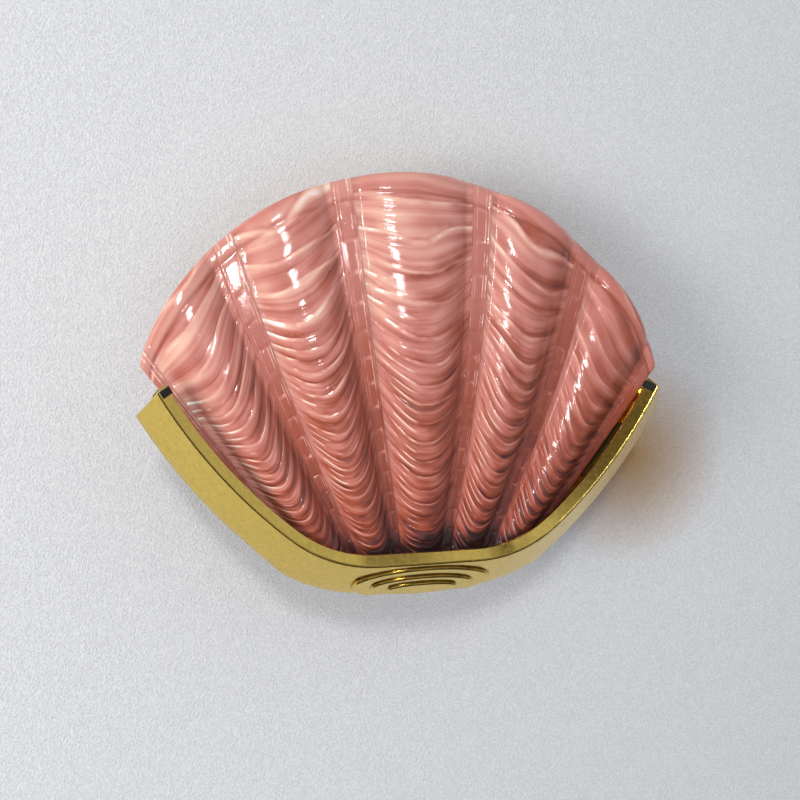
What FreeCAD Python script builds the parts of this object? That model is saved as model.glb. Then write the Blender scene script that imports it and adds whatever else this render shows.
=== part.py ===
import FreeCAD, Part
import math
import os

import Sketcher
from FreeCAD import Placement, Rotation, Vector

# Shell wall sconce. Millimetres. The wall is the plane Y = 0, the lamp stands out toward -Y,
# X runs to the right and Z upward. The origin is the centre of the wall plate's back face.

doc = FreeCAD.newDocument("shell_wall_sconce")
sheet = doc.addObject("Spreadsheet::Sheet", "sizes")

SIZES = {
    # wall plate
    "plate_width": 114.0, "plate_height": 60.0, "plate_thick": 1.5, "plate_corner": 8.0,
    "slot_spacing": 76.0, "slot_z": 14.0, "slot_rad": 2.4, "slot_run": 5.0,
    "cable_hole_rad": 6.5, "cable_hole_z": 17.0,
    # studs and nuts that carry the bracket
    "stud_x": 28.0, "stud_rad": 2.0, "stud_long": 13.5,
    "nut_rad": 4.04, "nut_thick": 3.2, "washer_rad": 4.5, "washer_thick": 0.8,
    # carrier bracket, a bent strap
    "strap_z": -25.7, "strap_wide": 14.0, "strap_thick": 2.0, "web_half": 50.0,
    "boss_x": 122.9, "boss_face_y": -54.3, "boss_rad": 4.2, "boss_long": 8.0,
    "flange_in": 9.0, "flange_out": 3.6,
    "clear_rad": 2.2, "tap_rad": 1.5,
    # holder bracket and lampholder on the bulb axis
    "axis_y": -36.0, "leg_half": 12.0, "leg_thick": 1.5, "leg_top": -18.0, "leg_bottom": -73.5,
    "foot_out": -47.0, "nipple_rad": 5.0, "nipple_bore": 4.0, "nipple_bottom": -80.0, "nipple_top": -65.0,
    "cap_rad": 14.0, "cap_top": -62.0, "body_rad": 13.2, "body_bore": 9.6, "body_top": -32.0,
    "insert_top": -54.0, "sleeve_rad": 8.1, "sleeve_bore": 7.3, "sleeve_top": -33.0,
    "contact_z": -50.5,
    # bulb
    "bulb_cap_rad": 6.9, "bulb_cap_wall": 0.4, "bulb_cap_low": -47.0, "bulb_cap_high": -28.0,
    "bulb_rad": 17.5, "bulb_top": 46.5, "bulb_wall": 0.9,
    # terminal block
    "block_half": 15.0, "block_low": -12.0, "block_high": 4.0, "block_deep": 13.0,
    "pole_pitch": 10.0, "pole_rad": 3.0, "pole_bore": 1.7, "pole_y": -8.0,
    "lead_rad": 1.0, "earth_x": -41.0,
    # glass shell
    "fan_z": -148.0, "fan_reach": 277.4, "fan_drop": 0.0302, "corner_drop": 0.25, "shell_thick": 4.2,
    "lobe_rise": 8.5, "shell_front": 72.0, "bow": 12.0, "bow_x": 142.0, "lean": 28.0, "belly": 1.0,
    "shell_low": -86.0, "edge_n": 2.8,
    # collar
    "collar_front": 88.0, "collar_low": -79.9, "flat_half": 28.2, "bend_rad": 71.2, "bend_turn": 38.9,
    "arm_rad": 275.0, "arm_turn": 21.0,
}
for row, (word, number) in enumerate(SIZES.items(), start=1):
    sheet.set("A%d" % row, word)
    sheet.set("B%d" % row, str(number))
    sheet.setAlias("B%d" % row, word)
doc.recompute()


class Dim:
    """A length that keeps both its value and the sheet expression it comes from."""

    def __init__(self, value, text):
        self.value = value
        self.text = text

    def join(self, sign, other, value):
        text = other.text if isinstance(other, Dim) else repr(float(other))
        return Dim(value, "(%s %s %s)" % (self.text, sign, text))

    def __add__(self, other):
        return self.join("+", other, self.value + plain(other))

    def __sub__(self, other):
        return self.join("-", other, self.value - plain(other))

    def __mul__(self, other):
        return self.join("*", other, self.value * plain(other))

    def __truediv__(self, other):
        return self.join("/", other, self.value / plain(other))

    def __neg__(self):
        return self * -1


def plain(number):
    """The bare number of a Dim or of a plain number."""
    return number.value if isinstance(number, Dim) else float(number)


def text_of(number):
    return number.text if isinstance(number, Dim) else repr(float(number))


def dim(word):
    return Dim(float(sheet.get(word)), "sizes.%s" % word)


def num(word):
    return float(sheet.get(word))


UP = Rotation()
TO_WALL = Rotation(Vector(1, 0, 0), -90)      # local Z becomes +Y
FROM_WALL = Rotation(Vector(1, 0, 0), 90)     # local Z becomes -Y
FINISHED = []


def primitive(kind, at, turn=UP, **lengths):
    """A Part primitive whose lengths and position follow the sheet."""
    thing = doc.addObject("Part::%s" % kind, kind)
    thing.Placement = Placement(Vector(*[plain(v) for v in at]), turn)
    for name, length in lengths.items():
        thing.setExpression(name, text_of(length))
    for name, value in zip("xyz", at):
        thing.setExpression("Placement.Base.%s" % name, text_of(value))
    return thing


def rod(at, turn, radius, length):
    return primitive("Cylinder", at, turn, Radius=radius, Height=length)


def block(low, size):
    return primitive("Box", low, UP, Length=size[0], Width=size[1], Height=size[2])


def joined(*things):
    union = doc.addObject("Part::MultiFuse", "union")
    union.Shapes = list(things)
    return union


def without(base, *tools):
    result = doc.addObject("Part::Cut", "cut")
    result.Base = base
    result.Tool = tools[0] if len(tools) == 1 else joined(*tools)
    return result


def group(*things):
    gathered = doc.addObject("Part::Compound", "group")
    gathered.Links = list(things)
    return gathered


def finish(thing, label):
    """Gives a finished sub-part its name."""
    thing.Label = label
    FINISHED.append(thing)
    return thing


def freeform(shape, label):
    thing = doc.addObject("Part::Feature", label)
    thing.Shape = shape
    return finish(thing, label)


def origin_plane(body, role):
    return [plane for plane in body.Origin.OriginFeatures if plane.Role == role][0]


def polygon(body, name, role, corners):
    """A closed sketch outline with every corner held by sheet expressions."""
    sketch = body.newObject("Sketcher::SketchObject", name)
    sketch.AttachmentSupport = [(origin_plane(body, role), "")]
    sketch.MapMode = "FlatFace"
    points = [Vector(plain(x), plain(y), 0) for x, y in corners]
    for i, point in enumerate(points):
        sketch.addGeometry(Part.LineSegment(point, points[(i + 1) % len(points)]), False)
    for i in range(len(points)):
        sketch.addConstraint(Sketcher.Constraint("Coincident", i, 2, (i + 1) % len(points), 1))
    for i, corner in enumerate(corners):
        for kind, value, axis in (("DistanceX", corner[0], -2), ("DistanceY", corner[1], -1)):
            if abs(plain(value)) < 1e-9:
                sketch.addConstraint(Sketcher.Constraint("PointOnObject", i, 1, axis))
                continue
            held = sketch.addConstraint(Sketcher.Constraint(kind, -1, 1, i, 1, plain(value)))
            sketch.setExpression("Constraints[%d]" % held, text_of(value))
    return sketch


def padded(label, role, corners, length, both_ways=False):
    body = doc.addObject("PartDesign::Body", label)
    sketch = polygon(body, "outline", role, corners)
    pad = body.newObject("PartDesign::Pad", "pad")
    pad.Profile = sketch
    pad.setExpression("Length", text_of(length))
    pad.Midplane = both_ways
    return body


def turned(label, corners, at):
    """A solid of revolution about its own Z axis, from a radius and height outline."""
    body = doc.addObject("PartDesign::Body", label)
    sketch = polygon(body, "profile", "XZ_Plane", corners)
    spin = body.newObject("PartDesign::Revolution", "revolution")
    spin.Profile = sketch
    spin.ReferenceAxis = (sketch, ["V_Axis"])
    spin.Angle = 360.0
    for name, value in zip("xyz", at):
        body.setExpression("Placement.Base.%s" % name, text_of(value))
    return body


# ---------------------------------------------------------------- wall plate and carrier

def wall_plate():
    wide, tall, thick = dim("plate_width") / 2, dim("plate_height") / 2, dim("plate_thick")
    body = doc.addObject("PartDesign::Body", "plate_blank")
    outline = polygon(body, "outline", "XZ_Plane", [(-wide, -tall), (wide, -tall), (wide, tall), (-wide, tall)])
    pad = body.newObject("PartDesign::Pad", "pad")
    pad.Profile = outline
    pad.setExpression("Length", thick.text)
    doc.recompute()
    upright = ["Edge%d" % (i + 1) for i, edge in enumerate(pad.Shape.Edges)
               if abs(edge.tangentAt(edge.FirstParameter).y) > 0.99]
    round_off = body.newObject("PartDesign::Fillet", "corners")
    round_off.Base = (pad, upright)
    round_off.setExpression("Radius", "sizes.plate_corner")
    tools = []
    depth = thick * 3
    for side in (-1, 1):
        centre = dim("slot_spacing") * (side / 2)
        run = dim("slot_run") / 2
        for end in (-1, 1):
            tools.append(rod((centre + run * end, thick, dim("slot_z")), FROM_WALL, dim("slot_rad"), depth))
        tools.append(block((centre - run, -thick * 2, dim("slot_z") - dim("slot_rad")),
                           (run * 2, depth, dim("slot_rad") * 2)))
        tools.append(rod((dim("stud_x") * side, thick, dim("strap_z")), FROM_WALL, dim("stud_rad"), depth))
        tools.append(rod((dim("pole_pitch") * (side / 2), thick, dim("block_low") / 2 + dim("block_high") / 2),
                         FROM_WALL, dim("tap_rad"), depth))
    tools.append(rod((0, thick, dim("cable_hole_z")), FROM_WALL, dim("cable_hole_rad"), depth))
    finish(without(body, *tools), "wall_plate")


def carrier_studs():
    studs = [rod((dim("stud_x") * side, 0, dim("strap_z")), FROM_WALL, dim("stud_rad"), dim("stud_long"))
             for side in (-1, 1)]
    finish(group(*studs), "carrier_studs")


def hex_nut(at, turn, radius, bore, thick):
    nut = doc.addObject("Part::Prism", "hexagon")
    nut.Polygon = 6
    nut.setExpression("Circumradius", text_of(radius))
    nut.setExpression("Height", text_of(thick))
    nut.Placement = Placement(Vector(*[plain(v) for v in at]), turn)
    for name, value in zip("xyz", at):
        nut.setExpression("Placement.Base.%s" % name, text_of(value))
    return without(nut, rod(at, turn, bore, thick))


def carrier_fixings():
    washers = []
    nuts = []
    start = -dim("plate_thick") - dim("strap_thick")
    for side in (-1, 1):
        at = (dim("stud_x") * side, start, dim("strap_z"))
        washers.append(without(rod(at, FROM_WALL, dim("washer_rad"), dim("washer_thick")),
                               rod(at, FROM_WALL, dim("stud_rad") + 0.1, dim("washer_thick"))))
        on_washer = (at[0], start - dim("washer_thick"), at[2])
        nuts.append(hex_nut(on_washer, FROM_WALL, dim("nut_rad"), dim("stud_rad"), dim("nut_thick")))
    finish(group(*washers), "carrier_washers")
    finish(group(*nuts), "carrier_nuts")


def carrier_bracket():
    """A steel strap bent to a hat shape, from the wall plate out to the collar's bosses."""
    back = -dim("plate_thick")
    front = back - dim("strap_thick")
    reach = dim("boss_face_y")
    skin = dim("strap_thick")
    bend, toe, heel = dim("web_half"), dim("boss_x") - dim("flange_in"), dim("boss_x") + dim("flange_out")
    half = [(bend, back), (toe + skin * 0.6, reach + skin), (heel, reach + skin), (heel, reach),
            (toe - skin * 0.6, reach), (bend - skin * 0.7, front)]
    mirrored = [(-x, y) for x, y in reversed(half)]
    body = padded("carrier_strap", "XY_Plane", half + mirrored, dim("strap_wide"))
    body.setExpression("Placement.Base.z", (dim("strap_z") - dim("strap_wide") / 2).text)
    holes = []
    for side in (-1, 1):
        holes.append(rod((dim("stud_x") * side, 0, dim("strap_z")), FROM_WALL, dim("clear_rad"), 6))
        holes.append(rod((dim("boss_x") * side, reach + skin * 2, dim("strap_z")), FROM_WALL, dim("clear_rad"), 8))
        holes.append(rod((dim("leg_half") * (side / 2), 0, dim("strap_z")), FROM_WALL, dim("tap_rad"), 6))
    holes.append(rod((dim("earth_x"), 0, dim("strap_z")), FROM_WALL, dim("tap_rad"), 6))
    finish(without(body, *holes), "carrier_bracket")


def pan_head(at, turn, radius, head_rad, head_tall, shank):
    """A pan-head screw: the head stands on the point, the shank runs along the turned axis."""
    head = primitive("Cone", at, turn * Rotation(Vector(1, 0, 0), 180), Radius1=head_rad, Radius2=head_rad * 0.8,
                     Height=head_tall)
    return joined(head, rod(at, turn, radius, shank))


def carrier_screws():
    screws = [pan_head((dim("boss_x") * side, dim("boss_face_y") + dim("strap_thick"), dim("strap_z")), FROM_WALL,
                       dim("stud_rad") - 0.35, dim("stud_rad") * 1.7, dim("stud_rad") * 1.1, 8) for side in (-1, 1)]
    finish(group(*screws), "carrier_screws")


# ---------------------------------------------------------------- holder bracket and lampholder

def holder_bracket():
    back = -dim("plate_thick") - dim("strap_thick")
    front = back - dim("leg_thick")
    sole = dim("leg_bottom")
    corners = [(back, dim("leg_top")), (back, sole), (dim("foot_out"), sole),
               (dim("foot_out"), sole + dim("leg_thick")), (front, sole + dim("leg_thick")), (front, dim("leg_top"))]
    body = padded("holder_leg", "YZ_Plane", corners, dim("leg_half") * 2, both_ways=True)
    holes = [rod((dim("leg_half") * (side / 2), 0, dim("strap_z")), FROM_WALL, dim("tap_rad") + 0.2, 8)
             for side in (-1, 1)]
    holes.append(rod((0, dim("axis_y"), sole - 1), UP, dim("nipple_rad") + 0.1, dim("leg_thick") + 2))
    finish(without(body, *holes), "holder_bracket")


def bracket_screws():
    face = -dim("plate_thick") - dim("strap_thick") - dim("leg_thick")
    screws = [pan_head((dim("leg_half") * (side / 2), face, dim("strap_z")), TO_WALL, dim("tap_rad"),
                       dim("tap_rad") * 1.9, dim("tap_rad") * 1.2, 3.4) for side in (-1, 1)]
    finish(group(*screws), "bracket_screws")


def lampholder():
    at = (0, dim("axis_y"), 0)
    sole, foot = dim("leg_bottom"), dim("leg_bottom") + dim("leg_thick")
    tube = [(dim("nipple_bore"), dim("nipple_bottom")), (dim("nipple_rad"), dim("nipple_bottom")),
            (dim("nipple_rad"), dim("nipple_top")), (dim("nipple_bore"), dim("nipple_top"))]
    finish(turned("nipple", tube, at), "holder_nipple")
    washer = without(rod((0, dim("axis_y"), sole - dim("washer_thick")), UP, dim("nipple_rad") + 3.5,
                         dim("washer_thick")),
                     rod((0, dim("axis_y"), sole - dim("washer_thick")), UP, dim("nipple_rad") + 0.1,
                         dim("washer_thick")))
    finish(washer, "nipple_washer")
    nut_at = (0, dim("axis_y"), sole - dim("washer_thick") - dim("nut_thick"))
    finish(hex_nut(nut_at, UP, dim("nut_rad") * 2, dim("nipple_rad"), dim("nut_thick")), "nipple_nut")
    rim, top, base = dim("cap_rad"), dim("cap_top"), dim("nipple_rad")
    dome = [(base, foot), (rim - 3, foot), (rim, foot + 3), (rim, top), (rim - 2, top), (rim - 2, foot + 5),
            (base, foot + 5)]
    finish(turned("dome", dome, at), "holder_cap")
    outer, bore = dim("body_rad"), dim("body_bore")
    shell = [(bore, top), (outer, top), (outer, dim("body_top") - 1), (outer - 1, dim("body_top")),
             (bore, dim("body_top"))]
    finish(turned("barrel", shell, at), "holder_body")
    seat = dim("insert_top")
    insert = [(base, top), (bore, top), (bore, seat), (base - 3.4, seat), (base - 3.4, seat - 2), (base, seat - 2)]
    finish(turned("insert", insert, at), "contact_insert")
    sleeve = [(dim("sleeve_bore"), seat), (dim("sleeve_rad"), seat), (dim("sleeve_rad"), dim("sleeve_top")),
              (dim("sleeve_bore"), dim("sleeve_top"))]
    finish(turned("sleeve", sleeve, at), "screw_sleeve")
    spring = [(-3, seat), (3.5, seat), (3.5, seat + 0.5), (-2.2, seat + 0.5), (1.0, dim("contact_z") - 0.5),
              (3.0, dim("contact_z") - 0.5), (3.0, dim("contact_z")), (0.6, dim("contact_z"))]
    strip = padded("strip", "XZ_Plane", spring, 4, both_ways=True)
    strip.setExpression("Placement.Base.y", "sizes.axis_y")
    finish(strip, "centre_contact")


def bulb():
    at = (0, dim("axis_y"), 0)
    wide, wall = dim("bulb_cap_rad"), dim("bulb_cap_wall")
    low, high = dim("bulb_cap_low"), dim("bulb_cap_high")
    cap = [(wide - wall, low), (wide, low), (wide, high), (wide - wall, high)]
    finish(turned("screw_cap", cap, at), "bulb_cap")
    tip = dim("contact_z") + 1
    glaze = [(0, tip), (2.6, tip), (wide - wall, low), (wide - wall, low + 1.5), (0, low + 1.5)]
    finish(turned("glaze", glaze, at), "bulb_insulator")
    finish(rod((0, dim("axis_y"), dim("contact_z")), UP, 2.4, 1), "bulb_contact")
    freeform(bulb_envelope(), "bulb_glass")
    stem = [(0, low + 1.5), (2.2, low + 1.5), (2.2, high + 8), (1.2, high + 14), (0, high + 14)]
    finish(turned("stem", stem, at), "bulb_stem")
    foot = num("bulb_cap_high") + 14.2
    filament = wire_path([(-0.9, foot), (-5, foot + 10), (-2.5, foot + 20), (0, foot + 12), (2.5, foot + 20),
                          (5, foot + 10), (0.9, foot)], 0.25)
    filament.translate(Vector(0, num("axis_y"), 0))
    freeform(filament, "bulb_filament")


def bulb_outline(inset):
    """Neck, flare and ball of the bulb as tangent edges, moved inward by the inset."""
    neck = num("bulb_cap_rad") - num("bulb_cap_wall") - 0.05 - inset
    mouth, shoulder = num("bulb_cap_high") - 3, num("bulb_cap_high") + 0.5
    ball = num("bulb_rad")
    heart = num("bulb_top") - ball
    dip = math.radians(20)          # the flare meets the ball this far below its equator
    across, rise = ball * math.cos(dip) - neck - inset, heart - ball * math.sin(dip) - shoulder
    lean = math.atan2(across, rise)
    hollow = math.hypot(across, rise) / 2 * math.tan((dip - lean) / 2) + inset
    middle = Vector(neck + inset + across / 2 - hollow * math.cos(lean), 0,
                    shoulder + rise / 2 + hollow * math.sin(lean))
    low, high = Vector(neck, 0, mouth), Vector(neck, 0, shoulder)
    joint, crest, crown = [Vector((ball - inset) * math.cos(turn), 0, heart + (ball - inset) * math.sin(turn))
                           for turn in (-dip, math.pi / 5, math.pi / 2)]
    return [Part.LineSegment(low, high).toShape(), Part.Arc(high, middle, joint).toShape(),
            Part.Arc(joint, crest, Vector(0, 0, crown.z)).toShape()]


def bulb_envelope():
    wall = num("bulb_wall")
    outside, inside = bulb_outline(0), bulb_outline(wall)
    mouth = [edges[0].valueAt(edges[0].FirstParameter) for edges in (inside, outside)]
    top = num("bulb_top")
    rim = Part.LineSegment(*mouth).toShape()
    spine = Part.LineSegment(Vector(0, 0, top - wall), Vector(0, 0, top)).toShape()
    outline = Part.Wire(Part.__sortEdges__([rim, spine] + outside + inside))
    glass = Part.Face(outline).revolve(Vector(0, 0, 0), Vector(0, 0, 1), 360)
    glass.translate(Vector(0, num("axis_y"), 0))
    return glass


def wire_path(corners, radius):
    """A thin round wire through (x, z) corners, with a ball at every bend."""
    points = [Vector(x, 0, z) for x, z in corners]
    legs = [Part.makeCylinder(radius, (b - a).Length, a, b - a) for a, b in zip(points, points[1:])]
    return legs[0].fuse(legs[1:] + [Part.makeSphere(radius, point) for point in points[1:-1]])


# ---------------------------------------------------------------- terminal block and leads

def terminal_block():
    half, low, tall = dim("block_half"), dim("block_low"), dim("block_high") - dim("block_low")
    face = -dim("plate_thick") - dim("block_deep")
    housing = block((-half, face, low), (half * 2, dim("block_deep"), tall))
    tools = []
    inserts = []
    grubs = []
    for pole in (-1, 0, 1):
        x = dim("pole_pitch") * pole
        tools.append(rod((x, dim("pole_y"), low), UP, dim("pole_rad"), tall))
        brass = without(rod((x, dim("pole_y"), low + 1), UP, dim("pole_rad"), tall - 2),
                        rod((x, dim("pole_y"), low), UP, dim("pole_bore"), tall),
                        *[rod((x, dim("pole_y"), low + tall * share), FROM_WALL, dim("tap_rad"), 6)
                          for share in (0.25, 0.75)])
        inserts.append(brass)
        for share in (0.25, 0.75):
            z = low + tall * share
            tools.append(rod((x, dim("pole_y"), z), FROM_WALL, dim("tap_rad") + 0.6, 12))
            grubs.append(rod((x, dim("pole_y") - dim("lead_rad"), z), FROM_WALL, dim("tap_rad"), 3.5))
    middle = low + tall / 2
    for side in (-1, 1):
        tools.append(rod((dim("pole_pitch") * (side / 2), 0, middle), FROM_WALL, dim("tap_rad"), 20))
    finish(without(housing, *tools), "terminal_block")
    finish(group(*inserts), "terminal_inserts")
    finish(group(*grubs), "terminal_screws")
    screws = [pan_head((dim("pole_pitch") * (side / 2), face, middle), TO_WALL, dim("tap_rad"),
                       dim("tap_rad") * 1.25, dim("tap_rad") * 0.8, dim("block_deep") + dim("plate_thick"))
              for side in (-1, 1)]
    finish(group(*screws), "block_screws")


def cable_grommet():
    hole, thick = dim("cable_hole_rad"), dim("plate_thick")
    ring = [(hole - 2, 0), (hole, 0), (hole, thick), (hole + 2, thick), (hole + 1.4, thick + 1.8),
            (hole - 2, thick + 1.8)]
    body = turned("grommet", ring, (0, 0, dim("cable_hole_z")))
    body.Placement = Placement(Vector(0, 0, num("cable_hole_z")), FROM_WALL)
    body.setExpression("Placement.Base.z", "sizes.cable_hole_z")
    finish(body, "cable_grommet")


def earth_parts():
    x, z = dim("earth_x"), dim("strap_z")
    face = -dim("plate_thick") - dim("strap_thick")
    ring = without(rod((x, face, z), FROM_WALL, 4, 0.8), rod((x, face, z), FROM_WALL, dim("tap_rad"), 0.8))
    barrel_y = face - 2.1
    barrel = without(joined(ring, rod((x, barrel_y, z + 3.2), UP, 1.7, 6)),
                     rod((x, barrel_y, z + 4.2), UP, dim("lead_rad"), 5))
    finish(barrel, "earth_tag")
    finish(pan_head((x, face - 0.8, z), TO_WALL, dim("tap_rad"), dim("tap_rad") * 1.9, dim("tap_rad") * 1.2, 2.8),
           "earth_screw")


def lead(label, points):
    """A round lead through the points, with an even bend at each."""
    points = [Vector(*point) for point in points]
    edges = []
    last = points[0]
    for before, corner, after in zip(points, points[1:], points[2:]):
        ease = min(5.0, (corner - before).Length * 0.45, (after - corner).Length * 0.45)
        came, goes = (corner - before).normalize(), (after - corner).normalize()
        enter, leave = corner - came * ease, corner + goes * ease
        half_turn = came.getAngle(goes) / 2
        inward = ease / math.tan(half_turn) * (1 / math.cos(half_turn) - 1)
        bend = Part.Arc(enter, corner + (goes - came).normalize() * inward, leave)
        edges += [Part.LineSegment(last, enter).toShape(), bend.toShape()]
        last = leave
    edges.append(Part.LineSegment(last, points[-1]).toShape())
    ring = Part.Wire(Part.Circle(points[0], points[1] - points[0], num("lead_rad")).toShape())
    freeform(Part.Wire(edges).makePipeShell([ring], True, False), label)


def leads():
    pole_y, low, axis_y = num("pole_y"), num("block_low"), num("axis_y")
    pitch, sole = num("pole_pitch"), num("nipple_bottom")
    for label, side in (("live_lead", -1), ("neutral_lead", 1)):
        lead(label, [(side * pitch, pole_y, low + 4), (side * pitch, pole_y, low - 1),
                     (side * (pitch + 3), pole_y - 4, low - 14), (side * 17, axis_y + 20, low - 40),
                     (side * 16, axis_y + 10, sole + 6), (side * 8, axis_y + 3, sole - 6),
                     (side * 1.8, axis_y, sole - 3), (side * 1.8, axis_y, num("cap_top") - 2)])
    x, top = num("earth_x"), num("strap_z") + 4.5
    tag_y = -num("plate_thick") - num("strap_thick") - 2.1
    lead("earth_lead", [(0, pole_y, low + 4), (0, pole_y, low - 1), (-4, pole_y - 6, low - 4),
                        (-20, pole_y - 7, low - 3), (x + 6, pole_y - 2, low + 3), (x, tag_y, low),
                        (x, tag_y, top)])


# ---------------------------------------------------------------- collar

def collar_path():
    """Stations along the collar's front edge seen from the front: (x, z, outward direction)."""
    half, low = num("flat_half"), num("collar_low")
    stations = [(half * i / 4, low, 0.0) for i in range(4)]
    bend, bend_rad = math.radians(num("bend_turn")), num("bend_rad")
    for i in range(9):
        turn = bend * i / 8
        stations.append((half + bend_rad * math.sin(turn), low + bend_rad * (1 - math.cos(turn)), turn))
    x0, z0, arm_rad = stations[-1][0], stations[-1][1], num("arm_rad")
    for i in range(1, 9):
        turn = bend + math.radians(num("arm_turn")) * i / 8
        stations.append((x0 + arm_rad * (math.sin(turn) - math.sin(bend)),
                         z0 + arm_rad * (math.cos(bend) - math.cos(turn)), turn))
    left = [(-x, z, -turn) for x, z, turn in reversed(stations[1:])]
    return left + stations


def bow_at(x):
    """How far the lamp's front has curved back toward the wall at this distance from the middle."""
    return num("bow") * (x / num("bow_x")) ** 2


def place(station, outward, back):
    """A point of the collar's section: outward from the shell, and back from the front edge."""
    x, z, turn = station
    return Vector(x + outward * math.sin(turn), -num("collar_front") + bow_at(x) + back, z - outward * math.cos(turn))


FACE = (19.0, 22.5)          # the main face runs this far outward and back
TIER = (3.3, 4.5)            # the lower tier goes on behind the step
STEP = (1.9, 1.3)            # step down from the main face to the tier
EDGE = (1.0, 1.2)            # worn round edge of the main face above the step
WALL = (1.6, 1.2)            # casting thickness, across the slanted face
NOSE = [(-0.7, 0.7), (-0.05, 0.38), (0.55, 0.65)]      # rounded front edge
CHANNEL = [(6.0, 10.6), (6.0, 24.0), (-2.5, 24.0), (-2.5, 22.0), (4.0, 22.0), (4.0, 8.5), (-5.0, 7.0), (-5.0, 5.0)]
TIP_SHARE = 0.84             # the arms narrow to this share of the full section
END_SKEW = 0.38              # the arm ends are cut back this much for every millimetre outward


def section(station):
    """The collar's section as (outward, back) corners, narrowed along the arms."""
    step = step_at(station)
    along_arm = max(0.0, (abs(station[0]) - 36.0) / 100.0)
    share = 1 - (1 - TIP_SHARE) * along_arm
    face = (FACE[0] * share, FACE[1] * share)
    upper_edge = (face[0] - EDGE[0] * step, face[1] - EDGE[1] * step)
    lower_edge = (face[0], face[1] + 0.8 * step)
    tier_start = (face[0] - STEP[0] * step, face[1] + STEP[1] * step)
    tier_end = (tier_start[0] + TIER[0] * share, tier_start[1] + TIER[1] * share)
    inner = (tier_end[0] - WALL[0], tier_end[1] + WALL[1])
    return NOSE + [upper_edge, lower_edge, tier_start, tier_end, inner] + CHANNEL


def lofted(stations, corners_at, skew=0.0):
    """A solid through the sections at the stations; skew slants both end cuts."""
    wires = []
    for i, station in enumerate(stations):
        slant = skew if i in (0, len(stations) - 1) else 0.0
        side = math.copysign(slant, station[0])
        back_along = Vector(-math.cos(station[2]), 0, -math.sin(station[2])) * side
        points = [place(station, *corner) + back_along * corner[0] for corner in corners_at(station)]
        wires.append(Part.makePolygon(points + points[:1]))
    return Part.makeLoft(wires, True, False)


def step_at(station):
    """The tier's step fades to a point where the arms meet the middle."""
    reach = abs(station[0])
    return min(1.0, max(0.06, (reach - 62.0) / 14.0))


OVALS = ((39.0, 18.9, 1.4), (29.0, 11.5, 2.8), (19.5, 5.6, 4.2))    # half width, half height, proud
OVAL_ROLL = [(0.0, -1.6), (0.0, -0.9), (0.35, -0.3), (1.0, 0.0)]    # rolled edge: inset, below the top
OVAL_DOWN = 22.8             # from the front edge to the ovals' centre, along the slanted face


def ornament():
    """Three stepped ovals with rolled edges on the middle of the band, cut off at its lower edge."""
    slant = Vector(0, FACE[1] + TIER[1], -FACE[0] - TIER[0])
    full = slant.Length
    down = slant / full
    normal = Vector(0, down.z, -down.y)
    top = Vector(0, -num("collar_front"), num("collar_low"))
    middle = top + down * OVAL_DOWN
    limit_low = top + down * (full - 0.5) - normal * 10
    wide = Vector(60, 0, 0)
    frame = Part.makePolygon([limit_low - wide, limit_low + wide, limit_low + wide + normal * 30,
                              limit_low - wide + normal * 30, limit_low - wide])
    band_zone = Part.Face(frame).extrude(down * -60)
    plates = []
    for half_wide, half_high, proud in OVALS:
        rings = []
        for inset, below in OVAL_ROLL:
            centre = middle + normal * (proud + below if inset or below > -1 else -1.6)
            outline = Part.Ellipse(centre + Vector(half_wide - inset, 0, 0), centre + down * (half_high - inset),
                                   centre)
            rings.append(Part.Wire(outline.toShape()))
        plates.append(Part.makeLoft(rings, True, True).common(band_zone))
    return plates


def collar():
    band = lofted(collar_path(), section, END_SKEW)
    plates = ornament()
    band = band.fuse(plates[0].fuse(plates[1:]))
    spots = [Vector(side * num("boss_x"), num("boss_face_y"), num("strap_z")) for side in (-1, 1)]
    for spot in spots:
        band = band.fuse(Part.makeCylinder(num("boss_rad"), num("boss_long"), spot, Vector(0, -1, 0)))
    for spot in spots:
        band = band.cut(Part.makeCylinder(num("stud_rad") - 0.35, 7.5, spot, Vector(0, -1, 0)))
    freeform(band, "collar")


def near_tip(station, run):
    """The station this far back along the arm from its tip."""
    x, z, turn = station
    side = math.copysign(1.0, x)
    arm_rad = num("arm_rad")
    before = abs(turn) - run / arm_rad
    return (x - side * arm_rad * (math.sin(abs(turn)) - math.sin(before)),
            z - arm_rad * (math.cos(before) - math.cos(abs(turn))), side * before)


def collar_pads():
    """Rubber buffers over the lip's two ends, and cushions under the glass."""
    path = collar_path()
    lip = [(-1.15, 0.85), (-5.15, 4.85), (-5.15, 7.0), (-5.95, 7.0), (-5.95, 4.55), (-1.75, 0.25)]
    ends = [lofted([near_tip(path[i], 4.0), path[i]], lambda station: lip) for i in (0, -1)]
    freeform(Part.makeCompound(ends), "end_buffers")
    pad = [(num("edge_n") + 0.05, 10.5), (3.8, 10.5), (3.8, 21.5), (num("edge_n") + 0.05, 21.5)]
    middle = len(path) // 2
    runs = [path[2:6], path[middle - 3:middle + 4], path[-6:-2]]
    freeform(Part.makeCompound([lofted(run, lambda station: pad) for run in runs]), "seat_cushions")


# ---------------------------------------------------------------- glass shell

BANDS = (8.5, 23.8, 40.5)        # degrees from the middle to each stepped rib, at the margin
BAND_HALF = (2.1, 2.4, 3.0)      # half of each rib's width
FAN_EDGE = 46.0                  # the fan is made wider than the shell, then trimmed to the collar


def fan_angle(spread, along):
    """Ribs crowd outward toward the foot of the shell."""
    share = spread / FAN_EDGE
    return spread + FAN_EDGE * 0.3 * (1 - along) * math.sin(math.pi * share) / math.pi


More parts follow.
